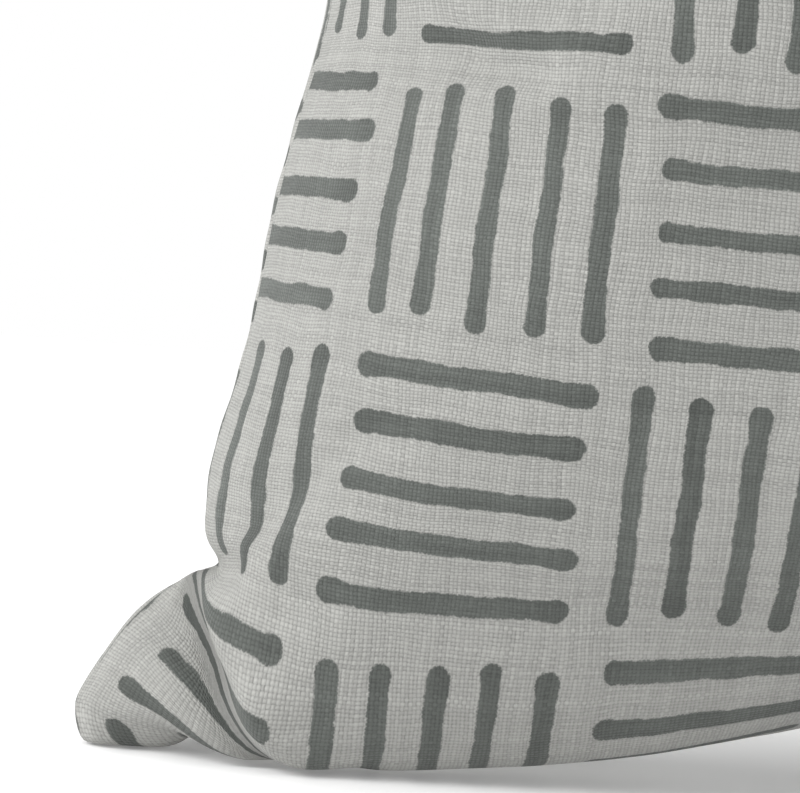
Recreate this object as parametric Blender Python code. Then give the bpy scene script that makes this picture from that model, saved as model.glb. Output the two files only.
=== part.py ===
"""Throw pillow, 508 mm (20 in) square cover over a feather-and-fibre insert, with a concealed zip.

Metres, +Z up, front face toward -Y. The pillow stands on its zipped edge: the lower bellies
rest on z = 0 and the zipped seam is held clear of the ground between them.
"""
import math

import bmesh
import bpy
import numpy as np

# ---------------------------------------------------------------- dimensions
CORNER_X = 0.2415       # half width, corner tip to centre
HEIGHT = 0.466          # ground to the upper corner tips
TIP_Z = 0.003           # height of the lower corner tips
BULGE = 0.113           # half thickness at the middle
EDGE_DIP = 0.042        # how far the seams bow inward at their middle
EAR_BACK = 0.016        # how far the insert's corners stop short of the cover's
SEAM_Z = 0.0225         # height of the zipped seam
ZIP_FLAT = 0.190        # half length of the straight part of the lower seam
BELLY_DROP = 0.020      # drop of the lower belly below its seam, along the whole edge
FOOT_DROP = 0.028       # further drop at the two feet
FOOT_AT = 0.62          # where the feet are, as a share of the half width
FOOT_SPREAD = 0.24

CLOTH = 0.0010          # cover fabric
CASING = 0.0005         # insert fabric
GAP = 0.0003
SEAM_GAP = 0.0006       # half gap between the two panels at the sewn edges
SLIT = 0.0009           # half width of the slit over the zip
GRID = 32
INSERT_GRID = 20

ZIP_HALF = 0.186        # tape half length
COIL_HALF = 0.181
REST_X = -0.176         # slider, zip closed
TAPE_IN = 0.0007
TAPE_OUT = 0.0102
TAPE_Z = SEAM_Z + 0.00135
TAPE_T = 0.0004
COIL_Z = TAPE_Z + TAPE_T + GAP
COIL_T = 0.0016
COIL_IN = 0.0005
COIL_OUT = 0.0024
PIVOT_Z = SEAM_Z - 0.0032
TAB_LEN = 0.0165

for o in list(bpy.data.objects):
    bpy.data.objects.remove(o, do_unlink=True)


# ---------------------------------------------------------------- helpers
def node(name, verts, faces):
    me = bpy.data.meshes.new(name)
    me.from_pydata([tuple(map(float, v)) for v in verts], [], [tuple(map(int, f)) for f in faces])
    me.validate()
    bm = bmesh.new()
    bm.from_mesh(me)
    bmesh.ops.recalc_face_normals(bm, faces=bm.faces)
    if bm.calc_volume(signed=True) < 0:
        bmesh.ops.reverse_faces(bm, faces=bm.faces)
    bm.to_mesh(me)
    bm.free()
    ob = bpy.data.objects.new(name, me)
    bpy.context.scene.collection.objects.link(ob)
    return ob


def smooth(x):
    x = np.clip(x, 0.0, 1.0)
    return x * x * (3 - 2 * x)


def surface(n, inset, lift, half_t, floor, edge_y, thick, ear=1.0):
    """One puffed panel as an (n+1, n+1, 3) grid, front side; rows run bottom to top."""
    s = np.linspace(-1, 1, n + 1)
    S, T = np.meshgrid(s, s)
    U, V = np.sin(S * math.pi / 2), np.sin(T * math.pi / 2)
    dip = lambda q: EDGE_DIP * (1 - np.abs(q) ** 1.7) + EAR_BACK * (1 - ear) * np.abs(q) ** 6
    half_w = CORNER_X - inset - dip(V) * 1.0
    top = HEIGHT - inset - dip(U)
    X = U * half_w
    A = np.abs(X) / CORNER_X
    arch = smooth((1 - A) / (1 - ZIP_FLAT / CORNER_X))
    low = TIP_Z + lift + (SEAM_Z - TIP_Z) * arch
    share = (V + 1) / 2
    Z = low + (top - low) * share
    puff = ((1 - U ** 4).clip(0) * (1 - V ** 4).clip(0)) ** 0.7
    reach = np.hypot((1 - np.abs(U)) * CORNER_X, (1 - np.abs(V)) * HEIGHT / 2)
    puff *= 1 - np.exp(-(reach / 0.026) ** 2)
    Y = -half_t * puff
    q = T + 1
    wave = np.where(q < 0.56, np.sin(math.pi * q / 0.56), 0.0).clip(0) ** 1.4
    drop = BELLY_DROP + FOOT_DROP * np.exp(-((A - FOOT_AT) / FOOT_SPREAD) ** 2)
    drop *= smooth((1 - A) / 0.22) * (1 - 0.3 * (lift > 0))
    Z = np.maximum(Z - drop * wave, floor)
    Y[1:-1, 1:-1] = np.minimum(Y[1:-1, 1:-1], -edge_y - thick - 0.0002)
    Y = np.minimum(Y, -edge_y)
    return np.stack([X, Y, Z], axis=-1)


def grid_normals(P):
    du, dv = np.zeros_like(P), np.zeros_like(P)
    du[:, 1:-1] = P[:, 2:] - P[:, :-2]
    du[:, 0], du[:, -1] = P[:, 1] - P[:, 0], P[:, -1] - P[:, -2]
    dv[1:-1] = P[2:] - P[:-2]
    dv[0], dv[-1] = P[1] - P[0], P[-1] - P[-2]
    N = np.cross(du, dv)
    return N / np.linalg.norm(N, axis=-1, keepdims=True).clip(1e-9)


def shell(name, outer, thick, floor, side):
    """A cloth panel: the outer grid, the same grid a cloth thickness inside, and the cut edge."""
    n = outer.shape[0] - 1
    N = grid_normals(outer)
    if N[n // 2, n // 2, 1] > 0:
        N = -N
    inner = outer - N * thick
    centre = np.array([0, 0, HEIGHT / 2])
    rim = np.zeros((n + 1, n + 1), bool)
    rim[0], rim[-1], rim[:, 0], rim[:, -1] = True, True, True, True
    inward = centre - outer
    inward[..., 1] = 0
    edge = np.zeros_like(outer)
    edge[0, :, 2], edge[-1, :, 2] = 1, -1
    edge[:, 0, 0] += 1
    edge[:, -1, 0] -= 1
    edge /= np.linalg.norm(edge, axis=-1, keepdims=True).clip(1e-9)
    inner[rim] = outer[rim] + edge[rim] * thick
    inner[..., 1] = np.where(rim, outer[..., 1], inner[..., 1])
    flat = (outer[..., 2] <= floor + 1e-9)
    inner[..., 2] = np.where(flat & ~rim, floor + thick, np.maximum(inner[..., 2], floor + thick * rim))
    verts = list(outer.reshape(-1, 3)) + list(inner.reshape(-1, 3))
    m, w = (n + 1) * (n + 1), n + 1
    faces = []
    for j in range(n):
        for i in range(n):
            a, b, c, d = j * w + i, j * w + i + 1, (j + 1) * w + i + 1, (j + 1) * w + i
            faces += [(a, b, c), (a, c, d), (m + c, m + b, m + a), (m + d, m + c, m + a)]
    loop = [(0, i) for i in range(n)] + [(j, n) for j in range(n)] + \
           [(n, i) for i in range(n, 0, -1)] + [(j, 0) for j in range(n, 0, -1)]
    for k in range(len(loop)):
        (j0, i0), (j1, i1) = loop[k], loop[(k + 1) % len(loop)]
        a, b = j0 * w + i0, j1 * w + i1
        faces.append((a, m + a, m + b, b))
    verts = np.array(verts)
    if side > 0:
        verts[:, 1] *= -1
    return node(name, verts, faces)


def solid(name, grid):
    """Two mirrored grids joined along their shared edge: a filled cushion."""
    n = grid.shape[0] - 1
    w = n + 1
    front = grid.copy()
    front[0, :, 1] = front[-1, :, 1] = 0
    front[:, 0, 1] = front[:, -1, 1] = 0
    verts, back = list(front.reshape(-1, 3)), {}
    for j in range(w):
        for i in range(w):
            k = j * w + i
            if i in (0, n) or j in (0, n):
                back[k] = k
            else:
                back[k] = len(verts)
                x, y, z = front[j, i]
                verts.append((x, -y, z))
    faces = []
    for j in range(n):
        for i in range(n):
            q = (j * w + i, j * w + i + 1, (j + 1) * w + i + 1, (j + 1) * w + i)
            faces += [q, tuple(back[k] for k in reversed(q))]
    return node(name, verts, faces)


def box(name, x0, x1, y0, y1, z0, z1):
    v = [(x, y, z) for x in (x0, x1) for y in (y0, y1) for z in (z0, z1)]
    f = [(0, 1, 3, 2), (4, 6, 7, 5), (0, 4, 5, 1), (2, 3, 7, 6), (0, 2, 6, 4), (1, 5, 7, 3)]
    return node(name, v, f)


def tube(name, path, r, sides=6, closed=False):
    """A thread: a round section carried along a path that lies in the y = const seam plane."""
    path = np.asarray(path, float)
    k = len(path)
    verts, faces = [], []
    for i in range(k):
        if closed:
            t = path[(i + 1) % k] - path[i - 1]
        else:
            t = path[min(i + 1, k - 1)] - path[max(i - 1, 0)]
        t = t / np.linalg.norm(t)
        a = np.array([0.0, 1.0, 0.0])
        b = np.cross(t, a)
        b /= np.linalg.norm(b)
        for s in range(sides):
            g = 2 * math.pi * s / sides
            verts.append(path[i] + r * (math.cos(g) * a + math.sin(g) * b))
    for i in range(k if closed else k - 1):
        p, q = i * sides, ((i + 1) % k) * sides
        for s in range(sides):
            s1 = (s + 1) % sides
            faces.append((p + s, p + s1, q + s1, q + s))
    if not closed:
        faces.append(tuple(range(sides)))
        faces.append(tuple(reversed(range((k - 1) * sides, k * sides))))
    return node(name, verts, faces)


# ---------------------------------------------------------------- cover
front = surface(GRID, 0.0, 0.0, BULGE, 0.0, SEAM_GAP, CLOTH)
zipped = np.abs(front[0, :, 0]) <= ZIP_FLAT + 0.004
front[0, zipped, 1] = -SLIT
shell("cover_front_panel", front, CLOTH, 0.0, -1)
shell("cover_back_panel", front, CLOTH, 0.0, +1)

mid = CLOTH * 0.55
seam_l = front[1:-1, 0].copy()
seam_r = front[1:-1, -1].copy()
seam_t = front[-1, 3:-3].copy()
for path in (seam_l, seam_r, seam_t):
    path[:, 1] = 0
seam_l[:, 0] += mid
seam_r[:, 0] -= mid
seam_t[:, 2] -= mid
tube("seam_thread_left", seam_l, 0.00025)
tube("seam_thread_right", seam_r, 0.00025)
tube("seam_thread_top", seam_t, 0.00025)
ends = front[0].copy()
ends[:, 1] = 0
ends[:, 2] += mid
left_end = [p for p in ends[3:] if p[0] < -ZIP_HALF - 0.003]
right_end = [p for p in ends[:-3] if p[0] > ZIP_HALF + 0.003]
tube("seam_thread_bottom_left", left_end, 0.00025)
tube("seam_thread_bottom_right", right_end, 0.00025)

# ---------------------------------------------------------------- insert
casing = surface(INSERT_GRID, 0.010, 0.0140, BULGE - 0.0024, CLOTH + 0.0009, 0.0004, CASING, 0.0)
shell("insert_casing_front", casing, CASING, CLOTH + 0.0009, -1)
shell("insert_casing_back", casing, CASING, CLOTH + 0.0009, +1)
fill = surface(INSERT_GRID, 0.0205, 0.0220, BULGE - 0.0062, CLOTH + 0.0009 + CASING + 0.0006, 0.0, 0.0, 0.0)
solid("insert_fill", fill)

# ---------------------------------------------------------------- concealed zip
for tag, s in (("front", -1), ("back", 1)):
    ya, yb = sorted((s * TAPE_IN, s * TAPE_OUT))
    box(f"zipper_tape_{tag}", -ZIP_HALF, ZIP_HALF, ya, yb, TAPE_Z, TAPE_Z + TAPE_T)
    ya, yb = sorted((s * COIL_IN, s * COIL_OUT))
    box(f"zipper_coil_{tag}", -COIL_HALF, COIL_HALF, ya, yb, COIL_Z, COIL_Z + COIL_T)
    y = s * 0.0078
    z = TAPE_Z + TAPE_T + GAP + 0.0002
    tube(f"zipper_stitch_{tag}", [(-ZIP_HALF + 0.002, y, z), (ZIP_HALF - 0.002, y, z)], 0.0002)
    ya, yb = sorted((s * COIL_IN, s * (COIL_OUT + 0.0004)))
    box(f"zipper_top_stop_{tag}", -COIL_HALF - 0.0028, -COIL_HALF - 0.0003, ya, yb, COIL_Z, COIL_Z + COIL_T + 0.0006)
box("zipper_bottom_stop", COIL_HALF + 0.0003, COIL_HALF + 0.0030, -COIL_OUT - 0.0004, COIL_OUT + 0.0004,
    COIL_Z, COIL_Z + COIL_T + 0.0006)

# slider: roof over both coils, side walls, and a thin neck through the slit to a bail outside
roof0 = COIL_Z + COIL_T + GAP
roof1 = roof0 + 0.0008
wall0, wall1 = COIL_OUT + 0.0003, COIL_OUT + 0.0009
foot = TAPE_Z + TAPE_T + GAP
neck = 0.00025
bail_top, bail_low, bail = SEAM_Z - 0.0006, PIVOT_Z - 0.0020, 0.0007
L0, L1 = REST_X - 0.0045, REST_X + 0.0055
section = [(-wall1, foot), (-wall0, foot), (-wall0, roof0), (-neck, roof0), (-neck, bail_top),
           (-bail, bail_top), (-bail, bail_low), (bail, bail_low), (bail, bail_top), (neck, bail_top),
           (neck, roof0), (wall0, roof0), (wall0, foot), (wall1, foot), (wall1, roof1), (-wall1, roof1)]
k = len(section)
sv = [(L0, y, z) for y, z in section] + [(L1, y, z) for y, z in section]
sf = [tuple(range(k)), tuple(reversed(range(k, 2 * k)))]
sf += [(i, (i + 1) % k, k + (i + 1) % k, k + i) for i in range(k)]
slider = node("zipper_slider", sv, sf)


def cut(target, x0, x1, y0, y1, z0, z1):
    c = box("cutter", x0, x1, y0, y1, z0, z1)
    m = target.modifiers.new("cut", "BOOLEAN")
    m.operation, m.solver, m.object = "DIFFERENCE", "EXACT", c
    apply(target)
    bpy.data.objects.remove(c, do_unlink=True)


def apply(target):
    dg = bpy.context.evaluated_depsgraph_get()
    me = bpy.data.meshes.new_from_object(target.evaluated_get(dg))
    target.modifiers.clear()
    target.data = me


# the bail is shorter than the roof, and the neck is no longer than the bail
cut(slider, L0 - 0.001, REST_X - 0.0026, -0.002, 0.002, bail_low - 0.001, roof0)
cut(slider, REST_X + 0.0026, L1 + 0.001, -0.002, 0.002, bail_low - 0.001, roof0)


def cylinder(name, x, z, y0, y1, r, n=16):
    v = [(x + r * math.cos(2 * math.pi * i / n), y, z + r * math.sin(2 * math.pi * i / n))
         for y in (y0, y1) for i in range(n)]
    f = [tuple(range(n)), tuple(reversed(range(n, 2 * n)))]
    f += [(i, (i + 1) % n, n + (i + 1) % n, n + i) for i in range(n)]
    return node(name, v, f)


hole = cylinder("hole", REST_X, PIVOT_Z, -0.003, 0.003, 0.0010)
m = slider.modifiers.new("hole", "BOOLEAN")
m.operation, m.solver, m.object = "DIFFERENCE", "EXACT", hole
apply(slider)
bpy.data.objects.remove(hole, do_unlink=True)

# pull tab: a teardrop plate hanging across the seam, forked round the bail and pinned through it
arm0, arm1, ta = bail + 0.0004, bail + 0.0013, 0.0005
fork = PIVOT_Z - 0.0034
half = []
for i in range(25):
    a = i / 24
    z = PIVOT_Z + 0.0008 - a * (TAB_LEN + 0.0008)
    wide = arm1 + 0.0017 * smooth((a - 0.28) / 0.4)
    if a > 0.72:
        wide *= math.sqrt(max(1 - ((a - 0.72) / 0.28) ** 2, 0.0))
    half.append((float(wide), z))
outline = [(y, z) for y, z in half if y > 1e-6] + [(0.0, PIVOT_Z - TAB_LEN)] + \
          [(-y, z) for y, z in reversed(half) if y > 1e-6]
k = len(outline)
tv = [(REST_X - ta, y, z) for y, z in outline] + [(REST_X + ta, y, z) for y, z in outline]
tf = [tuple(range(k)), tuple(reversed(range(k, 2 * k)))]
tf += [(i, (i + 1) % k, k + (i + 1) % k, k + i) for i in range(k)]
tab = node("zipper_pull_tab", tv, tf)
cut(tab, REST_X - 0.002, REST_X + 0.002, -arm0, arm0, fork, PIVOT_Z + 0.002)
pin = cylinder("pin", REST_X, PIVOT_Z, -arm1 + 0.0001, arm1 - 0.0001, 0.0006)
m = tab.modifiers.new("pin", "BOOLEAN")
m.operation, m.solver, m.object = "UNION", "EXACT", pin
apply(tab)
bpy.data.objects.remove(pin, do_unlink=True)
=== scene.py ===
"""Throw pillow: printed canvas cover, concealed zip and insert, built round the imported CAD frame."""

import math

import bmesh
import bpy
import numpy as np
from mathutils import Matrix, Vector


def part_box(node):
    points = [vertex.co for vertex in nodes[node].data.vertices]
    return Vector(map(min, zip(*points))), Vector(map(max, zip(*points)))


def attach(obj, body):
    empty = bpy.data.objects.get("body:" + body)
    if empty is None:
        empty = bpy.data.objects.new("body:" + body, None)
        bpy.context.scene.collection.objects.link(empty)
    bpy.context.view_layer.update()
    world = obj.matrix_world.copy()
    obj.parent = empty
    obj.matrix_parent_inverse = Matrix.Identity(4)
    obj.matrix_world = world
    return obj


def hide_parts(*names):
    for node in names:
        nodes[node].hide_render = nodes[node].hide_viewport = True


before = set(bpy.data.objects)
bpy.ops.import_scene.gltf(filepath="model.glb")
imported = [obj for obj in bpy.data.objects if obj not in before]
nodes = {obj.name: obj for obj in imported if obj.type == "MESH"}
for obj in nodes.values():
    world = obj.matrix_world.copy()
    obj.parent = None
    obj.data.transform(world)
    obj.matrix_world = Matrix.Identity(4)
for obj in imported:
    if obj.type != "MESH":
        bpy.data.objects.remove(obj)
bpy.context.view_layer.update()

# ------------------------------------------------------------------ sizes (metres)
SIDE = 0.508            # flat cover, seam to seam
CELLS = 80              # cloth grid of each panel
PUFF_FRAMES = 40        # steps of the cloth simulation
BLOCK = 0.0762          # one block of the print
STROKES = 5             # brush strokes in a block
WARP, WEFT = 0.001155, 0.000918    # spacing of the yarns
SINK = 0.0296           # how far the puffed shape is let down on to the ground
SEAM_Z = 0.0225         # height of the zipped part of the lower seam
ZIP_FLAT = 0.190        # half length of that part
INSERT = 61             # grid of the insert's pieces
CASING_IN = 0.012       # how far the casing stays inside the cover's seams, on the flat cloth
FLOOR_Z = -0.0004       # a hair under the pillow's feet
SEED = 11


def smooth(x):
    x = np.clip(x, 0.0, 1.0)
    return x * x * (3 - 2 * x)


def link(ob):
    bpy.context.scene.collection.objects.link(ob)
    return ob


def quads(idx, flip=False):
    """The four-sided faces of a grid of vertex numbers."""
    q = np.stack([idx[:-1, :-1], idx[:-1, 1:], idx[1:, 1:], idx[1:, :-1]], -1).reshape(-1, 4)
    return q[:, ::-1] if flip else q


def mesh(name, verts, faces, shade=True):
    me = bpy.data.meshes.new(name)
    me.from_pydata([tuple(map(float, v)) for v in verts], [], [tuple(map(int, f)) for f in faces])
    me.validate()
    if shade:
        me.polygons.foreach_set("use_smooth", [True] * len(me.polygons))
    return link(bpy.data.objects.new(name, me))


def lay_flat(ob, x, z):
    """Gives each vertex its place on the flat cloth, as shares of the cover's side."""
    flat = np.stack([x, z], -1).reshape(-1, 2)
    layer = ob.data.uv_layers.new(name="flat")
    loops = np.zeros(len(ob.data.loops), np.int32)
    ob.data.loops.foreach_get("vertex_index", loops)
    layer.data.foreach_set("uv", flat[loops].astype(np.float32).ravel())


# ------------------------------------------------------------------ the cover as cloth
def pillowcase():
    """Two flat panels sewn round their edge, blown up by the insert's pressure."""
    w = CELLS + 1
    s = np.linspace(-1, 1, w)
    U, V = np.meshgrid(s, s)
    edge = (np.abs(U) > 1 - 1e-9) | (np.abs(V) > 1 - 1e-9)
    puff = np.where(edge, 0.0, 0.004 + 0.02 * np.sqrt(((1 - U * U) * (1 - V * V)).clip(0)))
    front = np.stack([U * SIDE / 2, -puff, (V + 1) * SIDE / 2], -1)
    fi = np.arange(w * w).reshape(w, w)
    bi = fi.copy()
    bi[~edge] = w * w + np.arange((~edge).sum())
    back = front[~edge] * (1, -1, 1)
    verts = np.concatenate([front.reshape(-1, 3), back])
    faces = np.concatenate([quads(fi), quads(bi)[:, (0, 3, 2, 1)]])
    ob = mesh("pillowcase", verts, faces, False)
    press = ob.vertex_groups.new(name="press")
    flat = (SIDE / 2 - np.abs(verts[:, 0])) + (SIDE / 2 - np.abs(verts[:, 2] - SIDE / 2))
    share = 0.25 + 0.75 * np.clip((flat - 0.05) / 0.04, 0, 1)   # slacker in the corner ears
    for i, v in enumerate(share):
        press.add([i], float(v), "REPLACE")
    mod = ob.modifiers.new("cloth", "CLOTH")
    c = mod.settings
    c.quality, c.mass, c.air_damping = 6, 0.3, 2.0
    c.tension_stiffness = c.compression_stiffness = 30.0
    c.shear_stiffness, c.bending_stiffness = 10.0, 1.0
    c.use_pressure, c.uniform_pressure_force, c.vertex_group_pressure = True, 20.0, "press"
    c.effector_weights.gravity = 0
    mod.collision_settings.use_collision = False
    mod.collision_settings.use_self_collision = False
    mod.point_cache.frame_start, mod.point_cache.frame_end = 1, PUFF_FRAMES
    scene = bpy.context.scene
    for f in range(1, PUFF_FRAMES + 1):
        scene.frame_set(f)
    held = bpy.data.meshes.new_from_object(ob.evaluated_get(bpy.context.evaluated_depsgraph_get()))
    co = np.zeros(len(held.vertices) * 3)
    held.vertices.foreach_get("co", co)
    co = co.reshape(-1, 3)
    bpy.data.objects.remove(ob, do_unlink=True)
    scene.frame_set(1)
    return co[fi], co[bi]


front, back = pillowcase()


# ------------------------------------------------------------------ from the cloth to the standing pillow
def relax(A, B, mask, rounds):
    """Smooths both panels and the seam between them where mask (grid) is above 0."""
    for _ in range(rounds):
        for G, O in ((A, B), (B, A)):
            P = np.pad(G, ((1, 1), (1, 1), (0, 0)))
            P[0, 1:-1], P[-1, 1:-1] = O[1], O[-2]
            P[1:-1, 0], P[1:-1, -1] = O[:, 1], O[:, -2]
            mean = (P[:-2, 1:-1] + P[2:, 1:-1] + P[1:-1, :-2] + P[1:-1, 2:]) / 4
            G += (mean - G) * (0.5 * mask)[..., None]
        for e in (np.s_[0], np.s_[-1], np.s_[:, 0], np.s_[:, -1]):
            A[e] = B[e] = (A[e] + B[e]) / 2


w = CELLS + 1
lin = np.linspace(0, SIDE, w)
FX, FZ = np.meshgrid(lin, lin)
half = SIDE / 2
PINCH_R = 0.085         # reach of the deep fold that the simulation leaves at the middle of each side
pinch = sum(smooth(1 - np.hypot(FX - x, FZ - z) / PINCH_R)
            for x, z in ((half, SIDE), (half, 0), (0, half), (SIDE, half)))
relax(front, back, np.clip(1.4 * pinch, 0, 1), 45)
relax(front, back, np.full((w, w), 0.4), 1)

for G in (front, back):
    G[..., 2] -= SINK


def fine(G, at):
    """Samples a grid at flat positions `at` both ways, on smooth curves through its points."""
    t = np.asarray(at) / SIDE * CELLS
    i = np.clip(t.astype(int), 0, CELLS - 1)
    f = (t - i)[:, None, None]
    pts = [np.clip(i + k, 0, CELLS) for k in (-1, 0, 1, 2)]

    def run(H):
        p0, p1, p2, p3 = (H[k] for k in pts)
        p0 = np.where((i == 0)[:, None, None], 2 * p1 - p2, p0)
        p3 = np.where((i == CELLS - 1)[:, None, None], 2 * p2 - p1, p3)
        square = 2 * p0 - 5 * p1 + 4 * p2 - p3
        cube = 3 * (p1 - p2) + p3 - p0
        return p1 + 0.5 * f * (p2 - p0 + f * (square + f * cube))

    return run(run(G).transpose(1, 0, 2)).transpose(1, 0, 2)


rim = [0.0, 0.0005, 0.0011, 0.0019, 0.0030, 0.0046, 0.0068]
core = np.linspace(0.0095, SIDE - 0.0095, 138)
AT = np.array(rim + list(core) + [SIDE - r for r in reversed(rim)])
front, back = fine(front, AT), fine(back, AT)
m = len(AT)
FX, FZ = np.meshgrid(AT, AT)
D_BOTTOM, D_TOP, D_LEFT, D_RIGHT = FZ, SIDE - FZ, FX, SIDE - FX
D_SEAM = np.minimum(np.minimum(D_BOTTOM, D_TOP), np.minimum(D_LEFT, D_RIGHT))
CREASE = (0.68 * FX + FZ - 0.072) / 0.0080      # steps across the crease that cuts off a corner ear


def ear(G, side, right, top, strength):
    """Fills a corner ear out to a rounded lobe and tucks it under the belly along a crease."""
    sx, sz = (1 if right else -1), (-1 if top else 1)
    H = G[::sz, ::-sx]                                        # a view with this corner first
    hold = 1 - smooth(FX / 0.055)
    up = 0.0105 * smooth(FZ / 0.014) * smooth((0.094 - FZ) / 0.058) * hold * strength
    out = 0.0110 * smooth(FZ / 0.014) * smooth((0.080 - FZ) / 0.050) * hold * strength
    out += 0.0065 * np.exp(-(np.hypot(FX, FZ) / 0.030) ** 2) * strength
    out += 0.0050 * np.exp(-((FZ - 0.100) / 0.028) ** 2) * (1 - smooth(FX / 0.075)) * strength
    run = smooth(FX / 0.016 + 0.30) * smooth((0.074 - FX) / 0.045) * strength
    belly = np.exp(-((CREASE - 0.95) / 0.95) ** 2) * run
    tuck = np.exp(-((CREASE + 0.95) / 0.95) ** 2) * run
    over = 0.0048 * (belly - tuck)
    H[..., 0] += sx * out + sx * 0.56 * over
    H[..., 2] += sz * up - sz * 0.83 * over
    H[1:-1, 1:-1, 1] += (side * (0.0030 * belly - 0.0060 * tuck))[1:-1, 1:-1]
    if not top:
        foot = smooth((0.062 - FX) / 0.02) * smooth((0.034 - FZ) / 0.02) * smooth(FX / 0.008)
        H[..., 2] += 0.0022 * (foot * strength)


EARS = ((False, False, 1.0), (True, False, 0.85), (False, True, 0.55), (True, True, 0.65))
for G, side in ((front, -1), (back, 1)):
    for right, top, strength in EARS:
        ear(G, side, right, top, strength)


def stand(G):
    """Lets the lower bellies down to the ground and draws the zipped seam straight."""
    ax = np.abs(G[..., 0])
    seam_x, seam_z = G[0, :, 0].copy(), G[0, :, 2].copy()
    blend = smooth((0.226 - np.abs(seam_x)) / (0.226 - ZIP_FLAT))
    want = seam_z + (SEAM_Z - seam_z) * blend
    lift = (want - seam_z)[None, :] * (1 - smooth(D_BOTTOM / 0.040))
    drop = 0.0160 * smooth((0.235 - ax) / 0.035) * smooth((ax + 0.030) / 0.160)
    bump = smooth(D_BOTTOM / 0.020) * smooth((0.085 - D_BOTTOM) / 0.050)
    G[..., 2] += lift - drop * bump
    G[..., 1] *= 1 - (1 - smooth(D_BOTTOM / 0.008)) * blend[None, :]
    z = G[..., 2]
    soft = 0.0012
    G[..., 2] = np.where(z > 3 * soft, z, soft * np.log1p(np.exp(np.clip(z / soft, -30, 30))))


stand(front)
stand(back)


def outward(G):
    """Unit vectors, at each seam point, that point out of the pillow in the plane of the seam."""
    O = np.zeros_like(G)
    k = 9
    O[0], O[-1] = G[0] - G[k], G[-1] - G[-1 - k]
    O[:, 0], O[:, -1] = G[:, 0] - G[:, k], G[:, -1] - G[:, -1 - k]
    for j, a in ((0, k), (-1, -1 - k)):
        for i, b in ((0, k), (-1, -1 - k)):
            O[j, i] = G[j, i] - G[a, b]
    O[..., 1] = 0
    return O / np.linalg.norm(O, axis=-1, keepdims=True).clip(1e-9)


def normals(G):
    du, dv = np.gradient(G, axis=1), np.gradient(G, axis=0)
    N = np.cross(du, dv)
    N /= np.linalg.norm(N, axis=-1, keepdims=True).clip(1e-9)
    return N * np.sign(N[m // 2, m // 2, 1] * G[m // 2, m // 2, 1])


def waves(u, v, size, count, seed):
    """Smooth random ripples of about one size, -1 to 1."""
    r = np.random.default_rng(seed)
    total = np.zeros_like(u)
    for _ in range(count):
        a, ph = r.uniform(0, 2 * math.pi, 2)
        k = 2 * math.pi / (size * r.uniform(0.7, 1.4))
        total += np.sin(k * (math.cos(a) * u + math.sin(a) * v) + ph)
    return total / math.sqrt(count)


LIP = [0.00030, 0.00060, 0.00105, 0.00130, 0.00140, 0.00145, 0.00150]   # half gap, ring by ring from the seam
PULL = [-0.0016, -0.0007, 0.0000, 0.0003, 0.0001, 0.0, 0.0]             # how far each ring moves out


def dress(G, side):
    """Puckers the cloth along its seams, leaves it slightly uneven, and turns its edges in."""
    N = normals(G)
    along = np.where(np.minimum(D_BOTTOM, D_TOP) < np.minimum(D_LEFT, D_RIGHT), FX, FZ)
    pucker = waves(along, along * 0, 0.013, 9, SEED + side)
    pucker = pucker * np.exp(-D_SEAM / 0.011) * smooth(D_SEAM / 0.004)
    slack = waves(FX, FZ, 0.060, 14, SEED + 5 + side) * smooth(D_SEAM / 0.03)
    G = G + N * (0.00042 * pucker + 0.00035 * slack)[..., None]
    O = outward(G)
    at_zip = lambda G: (np.abs(G[..., 0]) < 0.195) & (D_BOTTOM < 0.03)
    for k in range(len(LIP)):
        last = m - 1 - k
        span = slice(k, m - k)
        ring = np.zeros((m, m), bool)
        ring[k, span] = ring[last, span] = ring[span, k] = ring[span, last] = True
        edge = O.copy()
        edge[k, :], edge[last, :] = O[0, :], O[-1, :]
        edge[span, k], edge[span, last] = O[span, 0], O[span, -1]
        gap = LIP[k] * np.where(at_zip(G), 1.0, 0.14 if k < 2 else 0.6)     # open round the zip, shut elsewhere
        wide = np.maximum(np.abs(G[..., 1]), gap) if k > 2 else gap
        G[..., 1] = np.where(ring, side * wide, G[..., 1])
        G = np.where(ring[..., None], G + edge * PULL[k], G)
    G[..., 1] = side * np.maximum(side * G[..., 1], np.where(at_zip(G), 0.0003, 0.00004))
    G[..., 2] = np.maximum(G[..., 2], 0.0002)
    return G


front, back = dress(front, -1), dress(back, 1)


def panel(name, G, flip):
    """One cover panel; flip is for the back one, whose cloth is laid the other way round."""
    ob = mesh(name, G.reshape(-1, 3), quads(np.arange(m * m).reshape(m, m), flip))
    u = (SIDE - FX if flip else FX) / SIDE
    v = FZ / SIDE
    if not flip:                                    # cloth taken up inside the crease of the lower left ear
        lobe = 1 - smooth((CREASE + 1.5) / 1.4)
        u, v = u - lobe * 0.031 / SIDE, v - lobe * 0.022 / SIDE
    lay_flat(ob, u, v)
    ob.modifiers.new("smooth", "SUBSURF").render_levels = 1
    ob.modifiers["smooth"].levels = 1
    return ob


panel_front = panel("cover_front", front, False)
panel_back = panel("cover_back", back, True)


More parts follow.
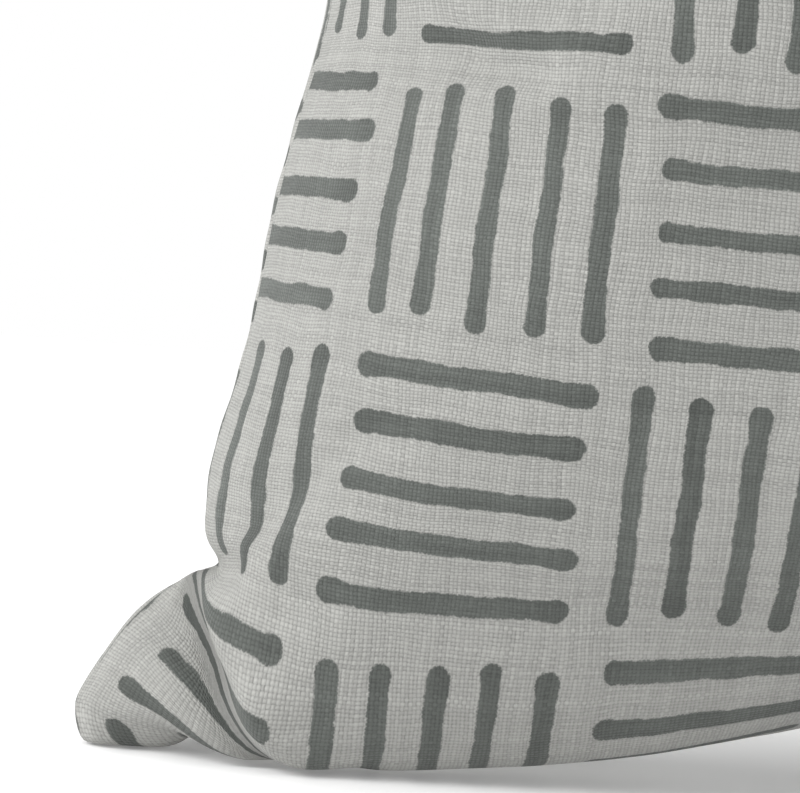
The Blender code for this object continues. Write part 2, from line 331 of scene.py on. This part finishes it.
# ------------------------------------------------------------------ shader nodes
class Tree:
    """A material's node tree; numbers and sockets combine with plain arithmetic."""

    def __init__(self, name):
        self.mat = bpy.data.materials.new(name)
        self.mat.use_nodes = True
        self.nt = self.mat.node_tree
        self.nt.nodes.clear()

    def new(self, kind, **inputs):
        node = self.nt.nodes.new("ShaderNode" + kind)
        for key, value in inputs.items():
            self.put(node.inputs[key.replace("_", " ")], value)
        return node

    def put(self, socket, value):
        if isinstance(value, Num):
            value = value.out
        if hasattr(value, "is_output"):
            self.nt.links.new(value, socket)
        else:
            socket.default_value = value

    def math(self, op, *args):
        node = self.nt.nodes.new("ShaderNodeMath")
        node.operation = op
        for k, a in enumerate(args):
            self.put(node.inputs[k], a)
        return Num(self, node.outputs[0])

    def mix(self, share, a, b, kind="MIX"):
        node = self.nt.nodes.new("ShaderNodeMix")
        node.data_type, node.blend_type = "RGBA", kind
        self.put(node.inputs[0], share)
        self.put(node.inputs[6], a)
        self.put(node.inputs[7], b)
        return node.outputs[2]

    def xyz(self, x, y, z=0.0):
        return self.new("CombineXYZ", X=x, Y=y, Z=z).outputs[0]

    def tinted(self, light, colour):
        """A colour, lighter or darker by light."""
        red, green, blue = colour
        return self.new("CombineColor", Red=light * red, Green=light * green, Blue=light * blue).outputs[0]

    def place(self):
        """Where a point is on the flat cloth, as shares of the cover's side."""
        laid = self.new("UVMap")
        laid.uv_map = "flat"
        uv = self.new("SeparateXYZ", Vector=laid.outputs[0])
        return Num(self, uv.outputs[0]), Num(self, uv.outputs[1])

    def noise(self, vector, scale, detail=2.0, rough=0.5):
        node = self.new("TexNoise", Vector=vector, Scale=scale, Detail=detail, Roughness=rough)
        return Num(self, node.outputs[0])

    def chance(self, vector):
        """Three random numbers, each the same wherever the vector is the same."""
        node = self.nt.nodes.new("ShaderNodeTexWhiteNoise")
        node.noise_dimensions = "3D"
        self.put(node.inputs["Vector"], vector)
        split = self.new("SeparateColor", Color=node.outputs["Color"])
        return [Num(self, split.outputs[k]) for k in range(3)]

    def done(self, height=None, distance=0.001, strength=1.0, **inputs):
        """Ends the tree in one shader, with a bump from height if there is one."""
        shader = self.nt.nodes.new("ShaderNodeBsdfPrincipled")
        for key, value in inputs.items():
            self.put(shader.inputs[key.replace("_", " ")], value)
        if height is not None:
            bump = self.new("Bump", Height=height, Distance=distance, Strength=strength)
            self.nt.links.new(bump.outputs[0], shader.inputs["Normal"])
        out = self.nt.nodes.new("ShaderNodeOutputMaterial")
        self.nt.links.new(shader.outputs[0], out.inputs[0])
        return self.mat


class Num:
    """A number that a shader works out, for use in plain arithmetic."""

    def __init__(self, tree, out):
        self.tree, self.out = tree, out

    def _do(self, op, *args):
        return self.tree.math(op, *args)

    def __add__(self, o): return self._do("ADD", self, o)
    def __radd__(self, o): return self._do("ADD", o, self)
    def __sub__(self, o): return self._do("SUBTRACT", self, o)
    def __rsub__(self, o): return self._do("SUBTRACT", o, self)
    def __mul__(self, o): return self._do("MULTIPLY", self, o)
    def __rmul__(self, o): return self._do("MULTIPLY", o, self)
    def __truediv__(self, o): return self._do("DIVIDE", self, o)
    def floor(self): return self._do("FLOOR", self)
    def abs(self): return self._do("ABSOLUTE", self)
    def power(self, o): return self._do("POWER", self, o)
    def max(self, o): return self._do("MAXIMUM", self, o)
    def sqrt(self): return self._do("SQRT", self)
    def odd(self): return self._do("FLOORED_MODULO", self, 2.0)

    def step(self, lo, hi):
        """0 below lo, 1 above hi, smooth between."""
        node = self.tree.nt.nodes.new("ShaderNodeMapRange")
        node.interpolation_type = "SMOOTHSTEP"
        self.tree.put(node.inputs[0], self)
        self.tree.put(node.inputs[1], lo)
        self.tree.put(node.inputs[2], hi)
        return Num(self.tree, node.outputs[0])


def choose(pick, a, b):
    """a where pick is 1, b where it is 0."""
    return b + pick * (a - b)


# ------------------------------------------------------------------ cover fabric
PHASE_FRONT, PHASE_BACK = (0.0238, 0.0053), (0.021, 0.012)     # where the print starts on each panel
CLOTH_GREY = (0.345, 0.345, 0.328)
INK_SHARE = (0.330, 0.356, 0.347)                              # of the cloth's own light that ink lets back


def canvas(name, phase):
    """The printed cover cloth: its weave, yarn by yarn, and the brush strokes on it."""
    t = Tree(name)
    x, y = (share * SIDE for share in t.place())                           # metres on the flat cloth
    mm = t.xyz(x * 1000, y * 1000)

    # yarns: the lines of the weave drift a little, and every yarn has its own thickness and tone
    drift = t.noise(mm, 0.035, 2.0) - 0.5
    drift2 = t.noise(t.xyz(x * 1000 + 300, y * 1000), 0.035, 2.0) - 0.5
    iu, iv = (x + drift * 0.004) / WARP, (y + drift2 * 0.004) / WEFT
    a, b = iu.floor(), iv.floor()
    fu, fv = (iu - a - 0.5) * 2, (iv - b - 0.5) * 2                        # -1 to 1 across each yarn
    warp_over = (a + b).odd()
    yarn_a, yarn_b = t.chance(t.xyz(a, 0.0, 1.0)), t.chance(t.xyz(0.0, b, 2.0))
    slub_a = t.noise(t.xyz(a * 7.3, y * 1000 * 0.10, 5.0), 1.0, 1.0)
    slub_b = t.noise(t.xyz(x * 1000 * 0.10, b * 7.3, 9.0), 1.0, 1.0)
    wide_a = 0.80 + yarn_a[0] * 0.22 + slub_a * 0.22
    wide_b = 0.80 + yarn_b[0] * 0.22 + slub_b * 0.22
    across_a = (1 - (fu / wide_a) * (fu / wide_a)).max(0.0)
    across_b = (1 - (fv / wide_b) * (fv / wide_b)).max(0.0)
    warp = across_a * (1 - fv * fv * 0.62)
    weft = across_b * (1 - fu * fu * 0.62)
    height = choose(warp_over, warp, weft)
    tone_a = yarn_a[1] * 0.5 + slub_a * 0.9
    tone_b = yarn_b[1] * 0.5 + slub_b * 0.9
    tone = choose(warp_over, tone_a, tone_b) - 0.7
    fuzz = t.noise(mm, 2.2, 3.0, 0.6) - 0.5

    # print: blocks of five brush strokes, upright in one block and level in the next
    X, Y = (x + phase[0]) / BLOCK, (y + phase[1]) / BLOCK
    cx, cy = X.floor(), Y.floor()
    fx, fy = X - cx, Y - cy
    upright = (cx + cy).odd()
    across, along = choose(upright, fx, fy), choose(upright, fy, fx)
    k = (across * STROKES).floor()
    r1, r2, r3 = t.chance(t.xyz(cx, cy, k + upright * 11))
    r4, r5, r6 = t.chance(t.xyz(cx + 40, cy + 17, k + upright * 11))
    da = (across * STROKES - k - 0.5) * (BLOCK / STROKES * 1000)           # mm off the stroke's line
    dl = (along - 0.5) * (BLOCK * 1000)                                    # mm along it from its middle
    own = k * 19 + cx * 31 + cy * 57
    sway = t.noise(t.xyz(dl * 0.045, own, upright * 5), 1.0, 1.0) - 0.5
    da = da + (r1 - 0.5) * 1.7 + sway * 2.6 + dl * (r2 - 0.5) * 0.022
    reach = 32.6 + (r3 - 0.5) * 4.2                                        # half a stroke's length
    dl = dl + (r4 - 0.5) * 2.6
    swell = t.noise(t.xyz(dl * 0.10, own, 30.0 + upright * 5), 1.0, 1.0) - 0.5
    wide = 2.78 + (r5 - 0.5) * 0.7 + swell * 1.3
    wide = wide + 0.45 * dl.abs().step(24.0, 31.0)
    over = (dl.abs() - (reach - wide)).max(0.0)
    dist = (da * da + over * over).sqrt() - wide
    coarse, small = t.noise(mm, 0.42, 2.0) - 0.5, t.noise(mm, 1.7, 2.0) - 0.5
    ragged = coarse * 1.1 + small * 0.7 - (height - 0.6) * 0.30
    ink = 1 - (dist + ragged).step(-0.30, 0.26)
    load = t.noise(t.xyz(dl * 0.05, da * 0.35, own), 1.0, 3.0, 0.6)          # how much ink the brush left
    dry = (0.16 + height * 0.55 + load * 0.9 - 0.20 * fuzz).step(0.10, 0.52)
    ink = ink * (0.72 + dry * 0.28)

    # colour
    cloudy = t.noise(mm, 0.012, 3.0) - 0.5
    light = 1.06 + tone * 0.38 + fuzz * 0.26 + cloudy * 0.05
    pinhole_shade = (fu * fu * fv * fv).power(0.8)                                # painted shade in the pinholes between four yarns
    # how deep the painted shade in each pinhole is, at random
    pinhole_shade_depth = t.chance(t.xyz(a, b, 4.0))[0]
    # painted shade: darker in the low parts between the yarns, and darker still in the pinholes
    light = light * (1.0 - 0.15 * (1 - height) - (0.05 + 0.36 * pinhole_shade_depth) * pinhole_shade)
    specks = t.noise(t.xyz(x * 1000 * 0.9, y * 1000 * 0.9, 3.0), 1.0, 2.0, 0.7)
    light = light + 0.10 * specks.step(0.66, 0.74) - 0.16 * (1 - specks.step(0.27, 0.33))
    cloth_colour = t.tinted(light, CLOTH_GREY)
    inked = 0.93 + (r6 - 0.5) * 0.18 + (load - 0.5) * 0.55 - (dl.abs().step(20.0, 31.0)) * 0.10
    printed = t.mix(1.0, cloth_colour, t.tinted(inked, INK_SHARE), "MULTIPLY")
    colour = t.mix(ink, cloth_colour, printed)
    relief = height + fuzz * 0.5 + tone * 0.25
    return t.done(relief, 0.00034, 0.80, Base_Color=colour, Roughness=0.93 - ink * 0.06,
                  Sheen_Weight=0.10, Sheen_Roughness=0.5, Specular_IOR_Level=0.25)


panel_front.data.materials.append(canvas("canvas_front", PHASE_FRONT))
panel_back.data.materials.append(canvas("canvas_back", PHASE_BACK))


# ------------------------------------------------------------------ threads, tape, coil and metal
def thread_material(name, colour):
    t = Tree(name)
    spot = t.new("SeparateXYZ", Vector=t.new("TexCoord").outputs["Object"])
    x, y, z = (Num(t, spot.outputs[k]) * 1000 for k in range(3))
    twist = t.math("SINE", (x + z * 0.6 + y * 1.7) * 9.0)
    hair = t.noise(t.xyz(x, y, z), 1.6, 3.0, 0.6) - 0.5
    light = 1.0 + twist * 0.10 + hair * 0.35
    return t.done(twist * 0.5 + hair, 0.00006, 0.6, Base_Color=t.tinted(light, colour), Roughness=0.75,
                  Sheen_Weight=0.15)


def tape_material():
    t = Tree("zip_tape_weave")
    spot = t.new("SeparateXYZ", Vector=t.new("TexCoord").outputs["Object"])
    x, y = Num(t, spot.outputs[0]) * 1000, Num(t, spot.outputs[1]) * 1000
    rib = t.math("SINE", (x + y.abs() * 0.8) * 10.5)
    row = t.math("SINE", y * 14.0)
    hair = t.noise(t.xyz(x, y), 1.1, 3.0, 0.6) - 0.5
    light = 1.0 + rib * 0.07 + row * 0.05 + hair * 0.25
    return t.done(rib * 0.5 + row * 0.4, 0.0001, 0.6, Base_Color=t.tinted(light, (0.40, 0.39, 0.36)),
                  Roughness=0.85, Sheen_Weight=0.1)


def plain_material(name, colour, rough, metal=0.0, grain=0.0, scratch=0.0):
    t = Tree(name)
    spot = t.new("TexCoord").outputs["Object"]
    speck = t.noise(spot, 2600.0, 3.0, 0.6) - 0.5
    wear = t.noise(spot, 420.0, 4.0, 0.7) - 0.5
    light = 1.0 + speck * grain + wear * scratch
    return t.done(speck, 0.00004, 0.5, Base_Color=t.tinted(light, colour), Roughness=rough + wear * 0.25,
                  Metallic=metal)


thread = thread_material("seam_thread", (0.50, 0.49, 0.45))
tape = tape_material()
coil_plastic = plain_material("zip_coil_nylon", (0.34, 0.33, 0.30), 0.42, 0.0, 0.10, 0.10)
stop_metal = plain_material("zip_stop_metal", (0.35, 0.34, 0.32), 0.34, 1.0, 0.10, 0.30)
dark_metal = plain_material("zip_slider_paint", (0.030, 0.029, 0.026), 0.40, 0.0, 0.30, 0.50)


def casing_material():
    t = Tree("insert_cambric")
    x, y = (share * (SIDE * 1000) for share in t.place())
    yarn = t.math("SINE", x * 16.0) * t.math("SINE", y * 16.0)
    cloudy = t.noise(t.xyz(x, y), 0.05, 3.0) - 0.5
    light = 1.0 + yarn * 0.05 + cloudy * 0.10
    return t.done(yarn, 0.00008, 0.5, Base_Color=t.tinted(light, (0.72, 0.72, 0.70)), Roughness=0.85)


def fibre_material():
    t = Tree("insert_fibre")
    spot = t.new("TexCoord").outputs["Object"]
    tuft = t.noise(spot, 90.0, 5.0, 0.65) - 0.5
    light = 1.0 + tuft * 0.25
    return t.done(tuft, 0.003, 0.7, Base_Color=t.tinted(light, (0.80, 0.80, 0.78)), Roughness=0.95,
                  Sheen_Weight=0.2)


def coat(ob, mat):
    """Gives a piece this one material."""
    ob.data.materials.clear()
    ob.data.materials.append(mat)


for tag in ("front", "back"):
    coat(nodes[f"zipper_tape_{tag}"], tape)
    coat(nodes[f"zipper_top_stop_{tag}"], stop_metal)
coat(nodes["zipper_bottom_stop"], stop_metal)


# ------------------------------------------------------------------ stitches
STITCH_PITCH, STITCH = 0.0032, 0.0024       # from one stitch to the next, and a stitch's length
ACROSS, UP = np.array([0.0, 1.0, 0.0]), np.array([0.0, 0.0, 1.0])


def stitches(name, path, radius=0.00022, arch=0.00022):
    """A row of short raised threads along a path of points."""
    path = np.asarray(path, float)
    run = np.concatenate([[0], np.cumsum(np.linalg.norm(np.diff(path, axis=0), axis=1))])
    count = int(run[-1] / STITCH_PITCH)
    start = (run[-1] - count * STITCH_PITCH) / 2
    verts, faces, steps, ring = [], [], 6, 6
    for c in range(count):
        base = len(verts)
        s = start + (c + 0.5) * STITCH_PITCH + np.linspace(-0.5, 0.5, steps + 1) * STITCH
        P = np.stack([np.interp(s, run, path[:, k]) for k in range(3)], -1)
        bend = 1 - np.linspace(-1, 1, steps + 1) ** 2
        fat = np.sqrt(1 - np.linspace(-0.97, 0.97, steps + 1) ** 4)
        T = P[-1] - P[0]
        T /= np.linalg.norm(T)
        A = ACROSS - T * (T @ ACROSS)
        A /= np.linalg.norm(A)
        B = np.cross(T, A)
        if B @ UP < 0:
            B = -B
        for k in range(steps + 1):
            centre = P[k] + B * arch * bend[k]
            for g in range(ring):
                q = 2 * math.pi * g / ring
                verts.append(centre + radius * fat[k] * (math.cos(q) * A + math.sin(q) * B))
        for k in range(steps):
            for g in range(ring):
                p, n = base + k * ring + g, base + k * ring + (g + 1) % ring
                faces.append((p, n, n + ring, p + ring))
        faces.append(tuple(base + g for g in reversed(range(ring))))
        faces.append(tuple(base + steps * ring + g for g in range(ring)))
    ob = mesh(name, verts, faces)
    ob.data.materials.append(thread)
    return ob


FREE = 10               # grid points left bare of stitches at each corner
inset = (front + back) / 2                                    # the seam's stitches lie just in from the edge
inset[..., 1] = 0
to_middle = np.array([0, 0, 0.23]) - inset
inset = inset + to_middle * 0.0016 / np.linalg.norm(to_middle, axis=-1, keepdims=True)
foot = inset[0]
rows = {
    "left": inset[FREE:-FREE, 0], "right": inset[FREE:-FREE, -1], "top": inset[-1, FREE:-FREE],
    "bottom_left": foot[foot[:, 0] < -ZIP_FLAT][FREE:], "bottom_right": foot[foot[:, 0] > ZIP_FLAT][:-FREE],
}
made = []               # (piece, the body it rides on, its finish)
for where, path in rows.items():
    ob = stitches(f"seam_stitch_{where}", path)
    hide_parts(f"seam_thread_{where}")
    made.append((ob, "pillow", "thread"))

for tag in ("front", "back"):
    lo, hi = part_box(f"zipper_stitch_{tag}")
    yz = ((lo.y + hi.y) / 2, (lo.z + hi.z) / 2)
    line = [(lo.x + (hi.x - lo.x) * k / 60, *yz) for k in range(61)]
    ob = stitches(f"zip_stitch_{tag}", line, radius=0.0002, arch=0.0001)
    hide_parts(f"zipper_stitch_{tag}")
    made.append((ob, "pillow", "thread"))


# ------------------------------------------------------------------ zip coil, slider and pull
def coil(name, node):
    """The zip's teeth: one nylon monofilament wound along the tape edge."""
    lo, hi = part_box(node)
    wire, pitch = 0.00024, 0.0012
    cy, cz = (lo.y + hi.y) / 2, (lo.z + hi.z) / 2
    ry, rz = (hi.y - lo.y) / 2 - wire, (hi.z - lo.z) / 2 - wire
    turns = int((hi.x - lo.x - 2 * wire) / pitch)
    steps, ring = 10, 5
    verts, faces = [], []
    total = turns * steps
    for k in range(total + 1):
        a = 2 * math.pi * k / steps
        x = lo.x + wire + (hi.x - lo.x - 2 * wire) * k / total
        c = np.array([x, cy + ry * math.cos(a), cz + rz * math.sin(a)])
        n = np.array([0, math.cos(a), math.sin(a)])
        for g in range(ring):
            q = 2 * math.pi * g / ring
            verts.append(c + wire * (math.cos(q) * n + math.sin(q) * np.array([1.0, 0, 0])))
    for k in range(total):
        for g in range(ring):
            p, q = k * ring + g, k * ring + (g + 1) % ring
            faces.append((p, p + ring, q + ring, q))
    faces.append(tuple(range(ring)))
    faces.append(tuple(reversed(range(total * ring, total * ring + ring))))
    ob = mesh(name, verts, faces)
    ob.data.materials.append(coil_plastic)
    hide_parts(node)
    return ob


for tag in ("front", "back"):
    made.append((coil(f"zip_coil_{tag}", f"zipper_coil_{tag}"), "pillow", "zip_coil"))


def rounded(name, node, mat, width):
    """A copy of a CAD piece with its edges rounded."""
    ob = link(bpy.data.objects.new(name, nodes[node].data.copy()))
    ob.data.name = name
    coat(ob, mat)
    bm = bmesh.new()
    bm.from_mesh(ob.data)
    bmesh.ops.remove_doubles(bm, verts=bm.verts, dist=1e-6)
    bmesh.ops.dissolve_limit(bm, angle_limit=math.radians(2), verts=bm.verts, edges=bm.edges)
    sharp = [e for e in bm.edges if len(e.link_faces) == 2 and e.calc_face_angle(0) > math.radians(35)]
    bmesh.ops.bevel(bm, geom=sharp, offset=width, segments=3, profile=0.5, affect="EDGES",
                    clamp_overlap=True)
    bm.to_mesh(ob.data)
    bm.free()
    ob.data.polygons.foreach_set("use_smooth", [True] * len(ob.data.polygons))
    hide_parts(node)
    return ob


made.append((rounded("slider", "zipper_slider", dark_metal, 0.00010), "slider", "zip_slider"))
made.append((rounded("pull_tab", "zipper_pull_tab", dark_metal, 0.00022), "pull", "zip_slider"))


# ------------------------------------------------------------------ insert
def inside(depth, back_off, close):
    """The insert's shape: the cover's, let in by depth and stopping short of its corners."""
    at = np.linspace(back_off, SIDE - back_off, INSERT)
    k = np.interp(at, AT, np.arange(m))
    i, f = k.astype(int), k - k.astype(int)
    i1 = np.minimum(i + 1, m - 1)
    rim = np.ones((INSERT, INSERT), bool)
    rim[1:-1, 1:-1] = False
    ux, uz = np.meshgrid(at, at)
    ear_off = np.minimum(ux, SIDE - ux) + np.minimum(uz, SIDE - uz)
    flatter = 0.30 + 0.70 * smooth((ear_off - 0.070) / 0.075)           # thin in the cover's corner ears
    out = []
    for G, s in ((front, -1), (back, 1)):
        H = G - normals(G) * depth
        H = H[:, i] * (1 - f)[None, :, None] + H[:, i1] * f[None, :, None]
        H = H[i] * (1 - f)[:, None, None] + H[i1] * f[:, None, None]
        H[..., 1] *= flatter
        thick = s * np.maximum(s * H[..., 1], 0.0012 + 0.0006 * close)
        H[..., 1] = np.where(rim, s * (0.0 if close else 0.0004), thick)
        H[..., 2] = np.maximum(H[..., 2], depth)
        out.append(H)
    return at, out


cambric, fibre = casing_material(), fibre_material()
idx_f = np.arange(INSERT * INSERT).reshape(INSERT, INSERT)
at, halves = inside(0.0030, CASING_IN, False)
flat_x, flat_z = np.meshgrid(at, at)
for tag, H, flip in (("front", halves[0], False), ("back", halves[1], True)):
    ob = mesh(f"casing_{tag}", H.reshape(-1, 3), quads(idx_f, flip))
    lay_flat(ob, flat_x / SIDE, flat_z / SIDE)
    ob.data.materials.append(cambric)
    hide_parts(f"insert_casing_{tag}")
    made.append((ob, "pillow", "insert_casing"))

_, halves = inside(0.0070, 0.022, True)
inner = np.zeros((INSERT, INSERT), bool)
inner[1:-1, 1:-1] = True
idx_b = idx_f.copy()                                          # the halves share the points of their edge
idx_b[inner] = INSERT * INSERT + np.arange(inner.sum())
fill_verts = np.concatenate([halves[0].reshape(-1, 3), halves[1][inner]])
filling = mesh("filling", fill_verts, np.concatenate([quads(idx_f), quads(idx_b, True)]))
filling.data.materials.append(fibre)
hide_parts("insert_fill")
made.append((filling, "pillow", "insert_fill"))

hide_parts("cover_front_panel")
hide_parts("cover_back_panel")
made += [(panel_front, "pillow", "cover_fabric"), (panel_back, "pillow", "cover_fabric")]
for ob, body, finish in made:
    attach(ob, body)


# ------------------------------------------------------------------ floor, light and camera
def floor_material():
    t = Tree("floor_matt_white")
    speck = t.noise(t.new("TexCoord").outputs["Object"], 30.0, 3.0) - 0.5
    light = 0.88 + speck * 0.01
    white = t.new("CombineColor", Red=light, Green=light, Blue=light).outputs[0]
    return t.done(Base_Color=white, Roughness=0.9, Emission_Color=(1, 1, 1, 1), Emission_Strength=0.16)


ground = mesh("floor", [(-4, -4, 0), (4, -4, 0), (4, 4, 0), (-4, 4, 0)], [(0, 1, 2, 3)], False)
ground.location.z = FLOOR_Z
ground.data.materials.append(floor_material())

scene = bpy.context.scene
world = bpy.data.worlds.new("studio")
world.use_nodes = True
sky = world.node_tree.nodes["Background"]
sky.inputs["Color"].default_value = (1, 1, 1, 1)
sky.inputs["Strength"].default_value = 1.0
scene.world = world
scene.view_settings.view_transform = "Standard"


KEY_AT, KEY_AIM = Vector((-1.75, -0.60, 1.05)), Vector((-0.05, 0, 0.22))
lamp = bpy.data.lights.new("key", "AREA")
lamp.shape, lamp.size, lamp.size_y = "RECTANGLE", 1.0, 1.0
lamp.energy = 26.0
key = link(bpy.data.objects.new("key", lamp))
key.location = KEY_AT
key.rotation_euler = (KEY_AIM - KEY_AT).to_track_quat("-Z", "Y").to_euler()

yaw, pitch, roll = 0.1713, -0.0385, 0.0826      # radians: turned right, down and leaning over
ahead = Vector((math.sin(yaw) * math.cos(pitch), math.cos(yaw) * math.cos(pitch), math.sin(pitch)))
right = Vector((math.cos(yaw), -math.sin(yaw), 0))
up = right.cross(ahead)
right, up = (math.cos(roll) * right + math.sin(roll) * up,
             -math.sin(roll) * right + math.cos(roll) * up)
lens = bpy.data.cameras.new("camera")
lens.sensor_width, lens.lens = 36.0, 130.4
camera = link(bpy.data.objects.new("camera", lens))
spot = (-0.3060, -0.8195, 0.1366)
turned = [[right[k], up[k], -ahead[k], spot[k]] for k in range(3)]
camera.matrix_world = Matrix(turned + [[0, 0, 0, 1]])
scene.camera = camera

bpy.context.view_layer.update()
